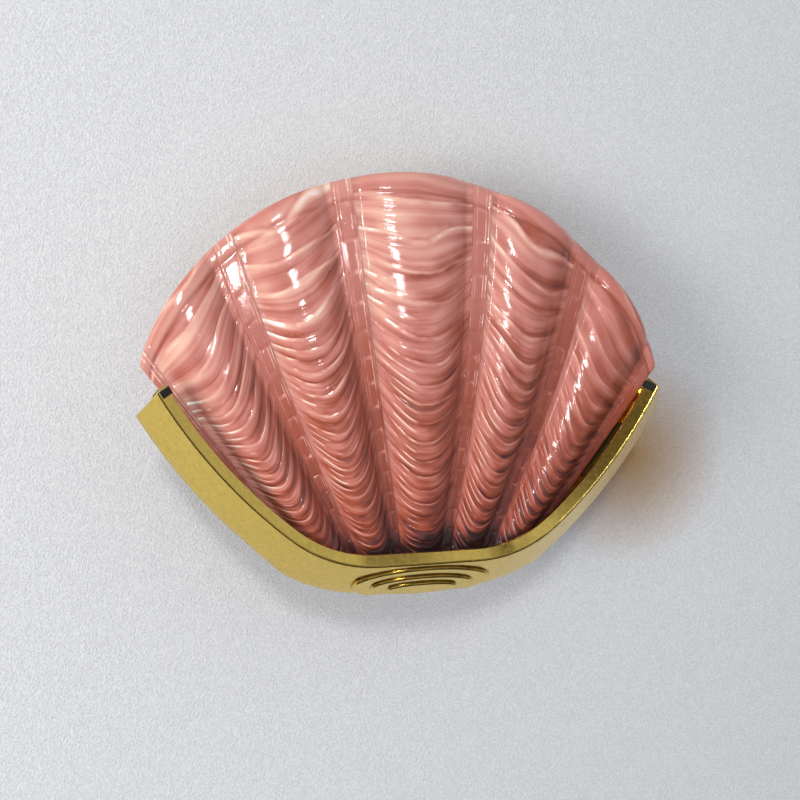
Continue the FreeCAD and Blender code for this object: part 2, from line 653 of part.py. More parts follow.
def lobe_height(spread):
    """0 on the ribs, 1 on the crest of each flute."""
    a = abs(spread)
    edges = [-BANDS[0] + BAND_HALF[0], BANDS[0] - BAND_HALF[0], BANDS[0] + BAND_HALF[0],
             BANDS[1] - BAND_HALF[1], BANDS[1] + BAND_HALF[1], BANDS[2] - BAND_HALF[2]]
    for low, high in zip(edges[0::2], edges[1::2]):
        if low < a < high:
            across = (2 * a - low - high) / (high - low)
            return (1 - across * across) ** 0.8
    return 0.0


def fan_point(spread, along, back):
    """A point of the shell's front (back = 0) or rear (back = 1) surface."""
    angle = fan_angle(spread, along)
    over = max(0.0, abs(spread) - 38.0)
    reach = num("fan_reach") - num("fan_drop") * spread ** 2 - num("corner_drop") * over ** 2
    start = (num("shell_low") - num("fan_z")) / math.cos(math.radians(min(abs(angle), 40.0)))
    radius = start + (reach - start) * along
    x = radius * math.sin(math.radians(angle))
    z = num("fan_z") + radius * math.cos(math.radians(angle))
    flat = max(0.0, 1 - (spread / 41.0) ** 2)
    depth = num("shell_front") - bow_at(x) - num("lean") * along ** 2 * flat
    depth += num("belly") * 4 * along * (1 - along) * flat
    rise = num("lobe_rise") * lobe_height(spread) * min(1.0, 0.25 + 3.0 * along) * (1 - 0.25 * along ** 3)
    if back:
        return Vector(x, -depth + num("shell_thick") - 0.8 * rise, z)
    return Vector(x, -depth - rise, z)


def fan_spreads():
    """Sampling across the fan: close together where a flute turns down to a rib."""
    half = []
    low = -BANDS[0] + BAND_HALF[0]
    for centre, width in zip(BANDS, BAND_HALF):
        high = centre - width
        half += [low + (high - low) * s for s in (0, 0.04, 0.12, 0.25, 0.5, 0.75, 0.88, 0.96, 1)]
        half.append(centre)
        low = centre + width
    half += [low, FAN_EDGE]
    half = [value for value in half if value >= -1e-9]
    return [-value for value in reversed(half) if value > 1e-9] + half


def clamped_knots(count):
    """Knots and multiplicities of a cubic B-spline with this many poles."""
    inner = count - 3
    return [float(i) for i in range(inner + 1)], [4] + [1] * (inner - 1) + [4]


def draped(poles):
    """A cubic surface drawn smoothly over a grid of poles."""
    across, across_mults = clamped_knots(len(poles))
    along, along_mults = clamped_knots(len(poles[0]))
    surface = Part.BSplineSurface()
    surface.buildFromPolesMultsKnots(poles, across_mults, along_mults, across, along, False, False, 3, 3)
    return surface


def shell_shade():
    rows = [i / 10 for i in range(11)]
    spreads = fan_spreads()
    front, rear = [draped([[fan_point(spread, along, back) for along in rows] for spread in spreads])
                   for back in (0, 1)]
    u0, u1, v0, v1 = front.bounds()
    faces = [front.toShape(), rear.toShape()]
    for pick in (lambda s: s.uIso(u0), lambda s: s.uIso(u1), lambda s: s.vIso(v0), lambda s: s.vIso(v1)):
        faces.append(Part.makeRuledSurface(pick(front).toShape(), pick(rear).toShape()))
    sewn = Part.Shell(Part.makeCompound(faces).Faces)
    sewn.sewShape()
    glass = Part.Solid(sewn)
    if glass.Volume < 0:
        glass.reverse()
    freeform(glass.common(seat_region()), "shell_shade")


def seat_region():
    """Everything above the collar's channel, where the glass can be."""
    path = collar_path()
    inset = num("edge_n")
    points = [Vector(x + inset * math.sin(turn), 0, z - inset * math.cos(turn)) for x, z, turn in path]
    x, z, turn = path[-1]
    run = Vector(math.cos(turn), 0, math.sin(turn)) * 45
    curve = Part.BSplineCurve()
    curve.interpolate(points)
    left = Vector(points[0].x - run.x, 0, points[0].z + run.z)
    right = points[-1] + run
    top = 260.0
    corners = [right, Vector(right.x, 0, top), Vector(left.x, 0, top), left, points[0]]
    lines = [Part.LineSegment(points[-1], right).toShape()]
    lines += [Part.LineSegment(a, b).toShape() for a, b in zip(corners, corners[1:])]
    outline = Part.Wire([curve.toShape()] + lines)
    return Part.Face(outline).extrude(Vector(0, -140, 0))


wall_plate()
carrier_studs()
carrier_fixings()
carrier_bracket()
carrier_screws()
holder_bracket()
bracket_screws()
lampholder()
bulb()
terminal_block()
cable_grommet()
earth_parts()
leads()
collar()
collar_pads()
shell_shade()
doc.recompute()

broken = [thing.Label for thing in doc.Objects if "Invalid" in thing.State or "Error" in thing.State]
if broken:
    raise RuntimeError("failed: %s" % ", ".join(broken))
os.makedirs("parts", exist_ok=True)
for thing in FINISHED:
    if thing.Shape.isNull() or not thing.Shape.isValid():
        raise RuntimeError("%s has no valid shape" % thing.Label)
    thing.Shape.exportStep(os.path.join("parts", thing.Label + ".step"))
    box = thing.Shape.BoundBox
    print("%-18s solids %d volume %9.1f  x %7.1f %7.1f  y %7.1f %7.1f  z %7.1f %7.1f" % (
        thing.Label, len(thing.Shape.Solids), thing.Shape.Volume,
        box.XMin, box.XMax, box.YMin, box.YMax, box.ZMin, box.ZMax))
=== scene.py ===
"""Looks of a shell wall sconce: a fluted pressed-glass fan standing in a polished gold collar.

Metres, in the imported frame: the wall is the plane Y = 0, the lamp stands out toward -Y,
X runs to the right and Z upward. The glass is worked out in millimetres and degrees. A place
"along" the fan runs from 0 near its foot to 1 at its margin, "spread" is the angle from the
middle as measured at the margin, and "across" runs from -1 to 1 over one flute or rib.
"""

import logging
import math
from collections.abc import Callable
from dataclasses import dataclass
from enum import Enum
from functools import partial

import bmesh
import bpy
from mathutils import Matrix, Vector, noise

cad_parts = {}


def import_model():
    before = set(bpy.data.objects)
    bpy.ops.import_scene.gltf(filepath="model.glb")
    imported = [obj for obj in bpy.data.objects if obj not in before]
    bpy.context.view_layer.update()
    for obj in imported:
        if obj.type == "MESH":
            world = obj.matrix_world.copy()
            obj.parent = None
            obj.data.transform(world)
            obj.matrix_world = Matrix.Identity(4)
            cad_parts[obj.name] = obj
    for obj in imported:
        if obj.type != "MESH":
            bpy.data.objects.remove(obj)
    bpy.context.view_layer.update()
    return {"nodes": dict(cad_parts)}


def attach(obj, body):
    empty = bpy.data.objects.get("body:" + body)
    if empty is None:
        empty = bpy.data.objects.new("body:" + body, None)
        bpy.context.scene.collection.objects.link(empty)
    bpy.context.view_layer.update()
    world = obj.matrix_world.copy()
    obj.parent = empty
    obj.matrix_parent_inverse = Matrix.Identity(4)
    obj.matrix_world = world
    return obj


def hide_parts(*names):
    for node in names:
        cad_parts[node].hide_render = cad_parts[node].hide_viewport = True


log = logging.getLogger("sconce")

MM = 0.001
MARKS = ("tint", "phase", "across", "rib", "clear")   # what the glass's mesh tells its material
RUNGS_PER_SWAG = 0.8
HALVINGS = 26   # enough to settle a place on the glass to far below a micrometre

Node = bpy.types.Node
Signal = Node | bpy.types.NodeSocket
Add = Callable[..., Node]   # add_node, bound to one node tree
Stops = tuple[tuple[float, float | str], ...]
Triple = tuple[float, float, float]

# What a maths node can do, as its settings.
PLUS = {"operation": "ADD"}
MINUS = {"operation": "SUBTRACT"}
TIMES = {"operation": "MULTIPLY"}
OVER = {"operation": "DIVIDE"}
TIMES_PLUS = {"operation": "MULTIPLY_ADD"}
PART_TURN = {"operation": "FRACT"}


class Body(Enum):
    """The rigid bodies of the lamp that new pieces can ride on."""

    FIXTURE = "fixture"
    SHADE = "shade"
    BULB = "bulb"


class Slot(Enum):
    """A material slot name; this script gives no piece a slot."""

    GLASS = "pressed_glass"


class Kind(Enum):
    """The shader nodes that the finishes and the room are made of, by Blender's own names."""

    ATTRIBUTE = "Attribute"
    BACKGROUND = "Background"
    BEVEL = "Bevel"
    BUMP = "Bump"
    CELLS = "TexWhiteNoise"
    CLEAR = "BsdfTransparent"
    COMBINE = "CombineXYZ"
    CREASE = "AmbientOcclusion"
    GEOMETRY = "NewGeometry"
    MATHS = "Math"
    MIX = "Mix"
    MIX_SHADER = "MixShader"
    NOISE = "TexNoise"
    OUTPUT = "OutputMaterial"
    PLACE = "TexCoord"
    PRINCIPLED = "BsdfPrincipled"
    RAMP = "ValToRGB"
    RANGE = "MapRange"
    RAYS = "LightPath"
    SEPARATE = "SeparateXYZ"
    STRIPES = "TexWave"
    VECTOR_MATHS = "VectorMath"
    WORLD_OUTPUT = "OutputWorld"


def srgb(code: str) -> tuple[float, float, float, float]:
    """Turns an sRGB hex colour into a linear one.

    Args:
        code: six hex digits, such as "D8C06A".

    Returns:
        Linear red, green, blue and an alpha of 1.
    """
    channels = [int(code[i:i + 2], 16) / 255 for i in (0, 2, 4)]
    linear = [c / 12.92 if c <= 0.04045 else ((c + 0.055) / 1.055) ** 2.4 for c in channels]
    return (*linear, 1.0)


def clamped(value: float, low: float = 0.0, high: float = 1.0) -> float:
    """Keeps a value between two limits."""
    return max(low, min(high, value))


@dataclass(frozen=True)
class Rise:
    """An eased rise from 0 at one value to 1 at another, which may be the smaller one."""

    start: float
    end: float

    def at(self, value: float) -> float:
        """How far the rise has come at a value, from 0 to 1."""
        share = clamped((value - self.start) / (self.end - self.start))
        return share * share * (3 - 2 * share)


@dataclass(frozen=True)
class Ridge:
    """A round-topped ridge that is 1 high at its middle and dies away to both sides."""

    middle: float
    half: float

    def at(self, value: float) -> float:
        """Height of the ridge at a value."""
        return math.exp(-(((value - self.middle) / self.half) ** 2))


# ------------------------ finishes


def add_node(
    tree: bpy.types.NodeTree, kind: Kind, settings: dict | None = None, links: dict | None = None
) -> Node:
    """Adds a shader node with its settings and incoming links.

    A Mix node's sockets go by number: 0 is the factor, 2 and 3 are its two numbers, 6 and 7 its
    two colours, and output 2 is the mixed colour.

    Args:
        tree: the node tree that gets the node.
        kind: what the node does.
        settings: values for input sockets, by name or number, and for the node's own attributes.
            "stops" gives a ramp its places, each with a level or a hex colour.
        links: input sockets, by name or number, with the output that feeds each; a node stands
            for its first output.

    Returns:
        The new node.
    """
    made = tree.nodes.new("ShaderNode" + kind.value)
    for name, value in (settings or {}).items():
        if name == "stops":
            band = made.color_ramp
            while len(band.elements) < len(value):
                band.elements.new(0.5)
            for element, (place, shade) in zip(band.elements, value):
                element.position = place
                element.color = srgb(shade) if isinstance(shade, str) else (shade, shade, shade, 1.0)
        elif isinstance(name, int) or name in made.inputs:
            made.inputs[name].default_value = value
        else:
            setattr(made, name, value)
    for name, source in (links or {}).items():
        feed = source.outputs[0] if isinstance(source, Node) else source
        tree.links.new(feed, made.inputs[name])
    return made


@dataclass(frozen=True)
class Finish:
    """A plain surface of one colour, with a grain if it has one; every finish builds on it."""

    name: str
    colour: str
    roughness: float
    metallic: float = 0.0
    ior: float = 1.5
    transmission: float = 0.0
    coat: float = 0.0
    grain_mm: float = 0.0
    grain_depth_mm: float = 0.0

    def constants(self) -> dict[str, object]:
        """Gives the shader's sockets that have one value all over the surface.

        Returns:
            The sockets' names and values.
        """
        return {
            "Base Color": srgb(self.colour), "Roughness": self.roughness, "Metallic": self.metallic,
            "IOR": self.ior, "Transmission Weight": self.transmission, "Coat Weight": self.coat,
        }

    def pattern(self, add: Add) -> dict[str, Signal]:
        """Makes the finish's own pattern.

        Args:
            add: adds a node to the material.

        Returns:
            The shader's sockets with what feeds each.
        """
        if not self.grain_mm:
            return {}
        where = add(Kind.PLACE).outputs["Object"]
        grain = add(Kind.NOISE, {"Scale": 1 / (self.grain_mm * MM), "Detail": 2.0}, {"Vector": where})
        bump = add(Kind.BUMP, {"Distance": self.grain_depth_mm * MM}, {"Height": grain})
        return {"Normal": bump}

    def outermost(self, add: Add, shader: Node) -> Node:
        """Gives the node that the light meets, which is the shader itself on a plain surface."""
        return shader

    def build(self) -> bpy.types.Material:
        """Makes the material.

        Returns:
            The material, ready for a piece.
        """
        material = bpy.data.materials.new(self.name)
        material.use_nodes = True
        material.node_tree.nodes.clear()
        add = partial(add_node, material.node_tree)
        shader = add(Kind.PRINCIPLED, self.constants(), self.pattern(add))
        add(Kind.OUTPUT, links={"Surface": self.outermost(add, shader)})
        return material


@dataclass(frozen=True)
class PatternPlace:
    """The sockets that say where on the moulded pattern the light falls."""

    phase: Signal
    across: Signal
    where: Signal


@dataclass(frozen=True)
class MouldLine:
    """One set of lines along the swags of a flute, drawn as painted highlight and painted shade.

    The profile runs over one line, the side over the flute from left to right, and the patch over
    a slow noise that breaks the lines up.
    """

    per_swag: float
    profile: Stops
    side: Stops
    patch: Stops

    def drawn(self, add: Add, swags: Signal, place: Signal, patch: Signal) -> Node:
        """Draws the lines.

        Args:
            add: adds a node to the material.
            swags: the swags' running count.
            place: 0 at the left of the flute, 1 at its right.
            patch: the slow noise.

        Returns:
            How much painted highlight the glass gets; below 0, painted shade in the grooves.
        """
        count = add(Kind.MATHS, TIMES | {1: self.per_swag}, {0: swags})
        turn = add(Kind.MATHS, PART_TURN, {0: count})
        level = add(Kind.RAMP, {"stops": self.profile}, {"Fac": turn})
        lifted = add(Kind.MATHS, MINUS | {1: 0.5}, {0: level})
        beside = add(Kind.RAMP, {"stops": self.side}, {"Fac": place})
        broken = add(Kind.RAMP, {"stops": self.patch}, {"Fac": patch})
        strength = add(Kind.MATHS, TIMES, {0: beside, 1: broken})
        return add(Kind.MATHS, TIMES, {0: lifted, 1: strength})


# Painted highlight on the lip and painted shade in the groove of each swag, plainest right of
# the flute's middle.
LIP_HIGHLIGHT_AND_SHADE = MouldLine(
    per_swag=1.0,
    profile=((0.0, 0.30), (0.12, 0.34), (0.40, 0.50), (0.72, 0.54), (0.82, 1.0), (0.87, 0.95),
             (0.94, 0.20), (1.0, 0.30)),
    side=((0.0, 0.0), (0.25, 0.45), (0.58, 1.0), (0.80, 0.9), (0.96, 0.0)),
    patch=((0.34, 0.35), (0.60, 1.0)),
)
# Painted glints along finer lines on the flute's lit left slope.
FINE_GLINTS = MouldLine(
    per_swag=2.0,
    profile=((0.0, 0.4), (0.55, 0.5), (0.78, 1.0), (0.86, 1.0), (0.94, 0.3), (1.0, 0.4)),
    side=((0.05, 0.0), (0.13, 1.0), (0.30, 1.0), (0.44, 0.0)),
    patch=((0.42, 0.0), (0.56, 1.0)),
)


@dataclass(frozen=True)
class Ladder:
    """Painted highlights on a rib's rails and rungs, most on the right rail. Stops run over the rib or a
    rung.
    """

    rail: Stops = ((0.40, 0.0), (0.52, 0.9), (0.60, 0.05), (0.78, 0.1), (0.88, 1.0), (0.98, 0.0))
    rung: Stops = ((0.0, 0.5), (0.10, 0.0), (0.88, 0.0), (0.96, 0.5))
    inside: Stops = ((0.50, 1.0), (0.56, 0.0))
    lit_right_side: Stops = ((0.0, 0.4), (0.2, 1.0))
    patch: Stops = ((0.46, 0.10), (0.60, 1.0))
    patch_mm: float = 9.0
    gain: float = 0.75

    def drawn(self, add: Add, at: PatternPlace) -> Node:
        """Draws the ladder.

        Args:
            add: adds a node to the material.
            at: the place on the pattern; the rungs follow the swags' count.

        Returns:
            How much painted highlight the glass gets.
        """
        offset = add(Kind.MATHS, {"operation": "ABSOLUTE"}, {0: at.across})
        rails = add(Kind.RAMP, {"stops": self.rail}, {"Fac": offset})
        count = add(Kind.MATHS, TIMES | {1: RUNGS_PER_SWAG}, {0: at.phase})
        turn = add(Kind.MATHS, PART_TURN, {0: count})
        rungs = add(Kind.RAMP, {"stops": self.rung}, {"Fac": turn})
        inside = add(Kind.RAMP, {"stops": self.inside}, {"Fac": offset})
        between = add(Kind.MATHS, TIMES, {0: rungs, 1: inside})
        lines = add(Kind.MATHS, {"operation": "MAXIMUM"}, {0: rails, 1: between})
        # The right rail faces the light and gets more painted highlight.
        right = add(Kind.RAMP, {"stops": self.lit_right_side}, {"Fac": at.across})
        lit = add(Kind.MATHS, TIMES, {0: lines, 1: right})
        slow = add(Kind.NOISE, {"Scale": 1 / (self.patch_mm * MM), "Detail": 2.0}, {"Vector": at.where})
        broken = add(Kind.RAMP, {"stops": self.patch}, {"Fac": slow})
        uneven = add(Kind.MATHS, TIMES, {0: lit, 1: broken})
        return add(Kind.MATHS, TIMES | {1: self.gain}, {0: uneven})


@dataclass(frozen=True)
class PressedGlass(Finish):
    """Pink pressed glass: a glossy fire-polished face, with painted shade deepening its colour and
    painted highlights along its lines.

    The mesh carries the moulded pattern's own coordinates: "tint" is the painted light and shade
    of the glass, with a random part and the rim's own tone, "phase" counts the swags up from the
    foot, "across" runs from -1 to 1 over a flute or rib, "rib" is 1 on the ribs, and "clear" says
    how plainly the painted lines show.
    """

    # The tones run from painted highlight, over lit glass, to painted shade at the unlit foot.
    tones: Stops = (
        (0.0, "FFF6F2"),    # glint along a lip
        (0.20, "F4C2AA"),   # lit glass: painted light
        (0.46, "D4877A"),   # the body colour
        (0.66, "AB553E"),   # shaded glass: painted shade
        (0.86, "652D2C"),   # folds that hold no light
        (1.0, "2A1418"),    # the unlit foot
    )
    tone_start: float = 0.3
    tone_span: float = 1.3
    drift_mm: float = 28.0
    drift_gain: float = 0.7
    patch_mm: float = 9.0
    least_lip: float = 0.4
    fine_gain: float = 1.1
    streaks_per_swag: float = 4.5
    streaks_per_flute: float = 0.9
    streak_gain: float = 0.75
    line_gain: float = 0.9
    line_height_mm: float = 0.34
    mould_grain_mm: float = 1.1
    mould_grain_share: float = 0.16
    spread_share: float = 0.3
    spread_mm: float = 3.0
    spread_by_colour: Triple = (1.0, 0.45, 0.35)
    polish: float = 0.035

    def swag_lines(self, add: Add, at: PatternPlace) -> Node:
        """Draws the lips' painted highlights and shade, the fine lines' painted glints and the streaks.

        Args:
            add: adds a node to the material.
            at: the place on the pattern.

        Returns:
            How much brighter the glass is: painted highlight, or below 0 painted shade in the grooves,
                with the streaks' random part.
        """
        drift = add(Kind.NOISE, {"Scale": 1 / (self.drift_mm * MM), "Detail": 0.0}, {"Vector": at.where})
        swags = add(Kind.MATHS, TIMES_PLUS | {1: self.drift_gain}, {0: drift, 2: at.phase})
        patch = add(Kind.NOISE, {"Scale": 1 / (self.patch_mm * MM), "Detail": 1.0}, {"Vector": at.where})
        place = add(Kind.MATHS, TIMES_PLUS | {1: 0.5, 2: 0.5}, {0: at.across})
        number = add(Kind.MATHS, {"operation": "FLOOR"}, {0: swags})
        cell = add(Kind.CELLS, {"noise_dimensions": "1D"}, {"W": number})
        own = add(Kind.MATHS, TIMES_PLUS | {1: 1 - self.least_lip, 2: self.least_lip}, {0: cell})
        lip_light_and_shade = add(Kind.MATHS, TIMES, {0: LIP_HIGHLIGHT_AND_SHADE.drawn(add, swags, place, patch), 1: own})
        fine_glints = FINE_GLINTS.drawn(add, swags, place, patch)
        both = add(Kind.MATHS, TIMES_PLUS | {1: self.fine_gain}, {0: fine_glints, 2: lip_light_and_shade})
        return add(Kind.MATHS, PLUS, {0: both, 1: self.streaks(add, at)})

    def streaks(self, add: Add, at: PatternPlace) -> Node:
        """Draws uneven fine lines that run along the swags, from the mould's tool marks.

        Args:
            add: adds a node to the material.
            at: the place on the pattern.

        Returns:
            How much brighter the glass is, above and below 0.
        """
        up = add(Kind.MATHS, TIMES | {1: self.streaks_per_swag}, {0: at.phase})
        over = add(Kind.MATHS, TIMES | {1: self.streaks_per_flute}, {0: at.across})
        along = add(Kind.COMBINE, links={"X": up, "Y": over})
        marks = add(Kind.NOISE, {"Scale": 1.0, "Detail": 2.0, "Roughness": 0.6}, {"Vector": along})
        centred = add(Kind.MATHS, MINUS | {1: 0.5}, {0: marks})
        return add(Kind.MATHS, TIMES | {1: self.streak_gain}, {0: centred})

    def constants(self) -> dict[str, object]:
        """Adds the light that spreads under the surface, and the polish of its coat.

        Returns:
            The sockets' names and values.
        """
        return super().constants() | {
            "Subsurface Weight": self.spread_share, "Subsurface Radius": self.spread_by_colour,
            "Subsurface Scale": self.spread_mm * MM, "Coat Roughness": self.polish,
        }

    def pattern(self, add: Add) -> dict[str, Signal]:
        """Colours the glass by its painted light and shade and its painted lines, and lets the lines
        stand up.

        Args:
            add: adds a node to the material.

        Returns:
            The shader's sockets with what feeds each.
        """
        # The tint attribute, read here as depth, holds the glass's painted light and shade.
        depth, phase, across, rib, clear = [
            add(Kind.ATTRIBUTE, {"attribute_name": name}).outputs["Fac"] for name in MARKS]
        where = add(Kind.PLACE).outputs["Object"]
        at = PatternPlace(phase, across, where)
        swags, ladder = self.swag_lines(add, at), Ladder().drawn(add, at)
        picked = add(Kind.MIX, links={0: rib, 2: swags, 3: ladder})
        lines = add(Kind.MATHS, TIMES, {0: picked, 1: clear})
        # The lines paint highlight and shade into the colour; below, they also raise the real bump.
        tone = add(Kind.MATHS, TIMES_PLUS | {1: -self.line_gain}, {0: lines, 2: depth})
        raised = add(Kind.MATHS, PLUS | {1: self.tone_start}, {0: tone})
        share = add(Kind.MATHS, OVER | {1: self.tone_span}, {0: raised})
        colour = add(Kind.RAMP, {"stops": self.tones}, {"Fac": share})
        wave = add(Kind.NOISE, {"Scale": 1 / (self.mould_grain_mm * MM), "Detail": 3.0},
                   {"Vector": where})
        height = add(Kind.MATHS, TIMES_PLUS | {1: self.mould_grain_share}, {0: wave, 2: lines})
        bump = add(Kind.BUMP, {"Distance": self.line_height_mm * MM}, {"Height": height})
        return {"Base Color": colour, "Normal": bump, "Coat Normal": bump}


@dataclass(frozen=True)
class GoldPlate(Finish):
    """Gold-coloured plate over cast brass, polished, with worn patches and painted shade in its creases.

    Real buffing marks are finer than the render shows, so they are drawn as patches of uneven
    gloss a few millimetres wide.
    """

    buff_mm: float = 2.2
    buff_gloss: tuple[float, float] = (0.7, 1.4)
    edge_mm: float = 0.5
    crease_mm: float = 1.6
    painted_crease_shade: str = "A68444"
    worn_mm: float = 3.0
    worn: str = "D8BA60"
    samples: int = 6

    def pattern(self, add: Add) -> dict[str, Signal]:
        """Gives the plate its uneven gloss, rounded edges, painted crease shade and worn patches.

        Args:
            add: adds a node to the material.

        Returns:
            The shader's sockets with what feeds each.
        """
        where = add(Kind.PLACE).outputs["Object"]
        marks = add(Kind.NOISE, {"Scale": 1 / (self.buff_mm * MM), "Detail": 4.0}, {"Vector": where})
        least, most = (self.roughness * share for share in self.buff_gloss)
        gloss = add(Kind.RANGE, {"From Min": 0.35, "From Max": 0.65, "To Min": least, "To Max": most},
                    {"Value": marks})
        edge = add(Kind.BEVEL, {"samples": self.samples, "Radius": self.edge_mm * MM})
        # Painted shade: ambient occlusion darkens the colour in the creases.
        crease = add(Kind.CREASE, {
            "samples": self.samples, "only_local": True, "Distance": self.crease_mm * MM})
        shade = add(Kind.RAMP, {"stops": ((0.5, self.painted_crease_shade), (0.95, "FFFFFF"))},
                    {"Fac": crease.outputs["AO"]})
        patches = add(Kind.NOISE, {"Scale": 1 / (self.worn_mm * MM), "Detail": 5.0, "Roughness": 0.7},
                      {"Vector": where})
        mottle = add(Kind.RAMP, {"stops": ((0.36, self.worn), (0.64, self.colour))}, {"Fac": patches})
        both = add(Kind.MIX, {"data_type": "RGBA", "blend_type": "MULTIPLY", 0: 1.0},
                   {6: mottle, 7: shade})
        return {"Roughness": gloss, "Normal": edge, "Base Color": both.outputs[2]}


@dataclass(frozen=True)
class StripedSleeve(Finish):
    """Wire sleeve in two colours, as the earth lead has.

    At a scale of 1, one stripe of the texture is wave_share wide.
    """

    second: str = "E8C81E"
    stripe_mm: float = 2.5
    wave_share: float = 0.16

    def pattern(self, add: Add) -> dict[str, Signal]:
        """Lays the stripes one after the other along the lead.

        Args:
            add: adds a node to the material.

        Returns:
            The shader's sockets with what feeds each.
        """
        where = add(Kind.PLACE).outputs["Object"]
        wave = add(Kind.STRIPES, {"Scale": self.wave_share / (self.stripe_mm * MM)}, {"Vector": where})
        stripe = add(Kind.RAMP, {"stops": ((0.0, self.colour), (0.5, self.second))},
                     {"Fac": wave.outputs["Fac"]})
        stripe.color_ramp.interpolation = "CONSTANT"
        return {"Base Color": stripe}


@dataclass(frozen=True)
class PaintedWall(Finish):
    """Pale wall paint put on with a roller, with painted shadow, warmed by the gold's light, beside the
    lamp.

    The wall is clear from behind, and to light that leaves the plate lying against it, so that the
    back can be looked at. The painted shadow's place and reach and the gap behind the plate are in
    metres.
    """

    grain_mm: float = 0.85
    grain_depth_mm: float = 0.95
    pit: str = "DCDCDD"
    painted_shadow_glow: str = "CFA267"
    painted_shadow_glow_at: Triple = (0.166, 0.0, -0.042)
    painted_shadow_glow_reach: float = 0.072
    painted_shadow_glow_fade: Stops = ((0.0, 1.0), (0.35, 0.7), (1.0, 0.0))
    gap: float = 0.0004

    def pattern(self, add: Add) -> dict[str, Signal]:
        """Gives the paint its rolled grain and the painted shadow beside the lamp.

        Args:
            add: adds a node to the material.

        Returns:
            The shader's sockets with what feeds each.
        """
        where = add(Kind.PLACE).outputs["Object"]
        grain = add(Kind.NOISE, {"Scale": 1 / (self.grain_mm * MM), "Detail": 3.0}, {"Vector": where})
        bump = add(Kind.BUMP, {"Distance": self.grain_depth_mm * MM}, {"Height": grain})
        speckle = add(Kind.RAMP, {"stops": ((0.35, self.pit), (0.65, self.colour))}, {"Fac": grain})
        # Painted shadow beside the right arm, tinted warm as painted light thrown by the gold.
        away = add(Kind.VECTOR_MATHS, {"operation": "DISTANCE", 1: self.painted_shadow_glow_at}, {0: where})
        share = add(Kind.MATHS, OVER | {1: self.painted_shadow_glow_reach}, {0: away.outputs["Value"]})
        lit = add(Kind.RAMP, {"stops": self.painted_shadow_glow_fade}, {"Fac": share})
        tinted = add(Kind.MIX, {"data_type": "RGBA", "blend_type": "MULTIPLY", 7: srgb(self.painted_shadow_glow)},
                     {0: lit, 6: speckle})
        return {"Normal": bump, "Base Color": tinted.outputs[2]}

    def outermost(self, add: Add, shader: Node) -> Node:
        """Lets light through from behind and close to the plate.

        Args:
            add: adds a node to the material.
            shader: the paint's shader.

        Returns:
            The node that the light meets.
        """
        back = add(Kind.GEOMETRY).outputs["Backfacing"]
        travelled = add(Kind.RAYS).outputs["Ray Length"]
        touching = add(Kind.MATHS, {"operation": "LESS_THAN", 1: 2 * self.gap}, {0: travelled})
        through = add(Kind.MATHS, {"operation": "MAXIMUM"}, {0: back, 1: touching})
        return add(Kind.MIX_SHADER, links={"Fac": through, 1: shader, 2: add(Kind.CLEAR)})


# Soda-lime glass pressed in an iron mould and fire-polished: a wet gloss over soft pink, darker
# where no light comes through from behind.
GLASS = PressedGlass("rose_pressed_glass", "D97F70", 0.5, coat=1.0)
# Brass casting, plated and polished: warm, sharp reflections, a little broken by buffing.
GOLD = GoldPlate("polished_brass_plate", "E8C968", 0.14, metallic=1.0)
# Pressed steel, zinc plated: a dull blue-grey metal. The plating's crystals are too fine to show,
# so its faint unevenness is drawn 3 mm wide.
ZINC = Finish("zinc_plated_steel", "B9BCC0", 0.34, metallic=1.0, grain_mm=3.0, grain_depth_mm=0.05)
# Brass turned from bar and left bare: yellow, with soft, slightly spread reflections.
BRASS = Finish("bare_turned_brass", "C9A25A", 0.28, metallic=1.0)
# Moulded rubber: nearly matt. Its pebbled face is drawn coarser than it is, so that it shows.
RUBBER = Finish("black_rubber", "1B1B1C", 0.72, grain_mm=0.8, grain_depth_mm=0.03)
# Phenolic resin, hot-pressed in a polished mould: near black with a soft shine.
PHENOLIC = Finish("black_phenolic_moulding", "161514", 0.32, coat=0.2)
# Pressed porcelain, glazed: a clean warm white under a clear gloss.
PORCELAIN = Finish("glazed_porcelain", "EDEAE2", 0.16, coat=0.5)
# Thin drawn brass, nickel plated: a pale warm grey, smooth but no mirror.
NICKEL = Finish("nickel_plated_brass", "C9C6BE", 0.2, metallic=1.0)
# Blown glass, etched inside: milky, so that the filament is only a blur.
FROSTED = Finish("frosted_bulb_glass", "F6F6F2", 0.38, transmission=1.0)
# Drawn glass, worked in a flame: clear, with small sharp glints.
STEM_GLASS = Finish("clear_stem_glass", "F4F7F6", 0.05, transmission=1.0)
# Drawn and coiled tungsten: dark grey with a dull shine.
TUNGSTEN = Finish("tungsten_wire", "6F6E6C", 0.4, metallic=1.0)
# Injection-moulded nylon: milky white, half matt.
NYLON = Finish("white_nylon", "EFEFEC", 0.42)
# Soft plastic drawn over copper wire: one even colour with a satin shine, striped on the earth lead.
BROWN = Finish("brown_wire_sleeve", "6B3E22", 0.45)
BLUE = Finish("blue_wire_sleeve", "2C5FA8", 0.45)
EARTH = StripedSleeve("green_yellow_wire_sleeve", "2E8B3D", 0.45)
# Matt wall paint, rolled on: an even near white with a fine pitted grain, drawn 0.85 mm wide.
PAINT = PaintedWall("painted_wall", "F0F0EF", 0.8)

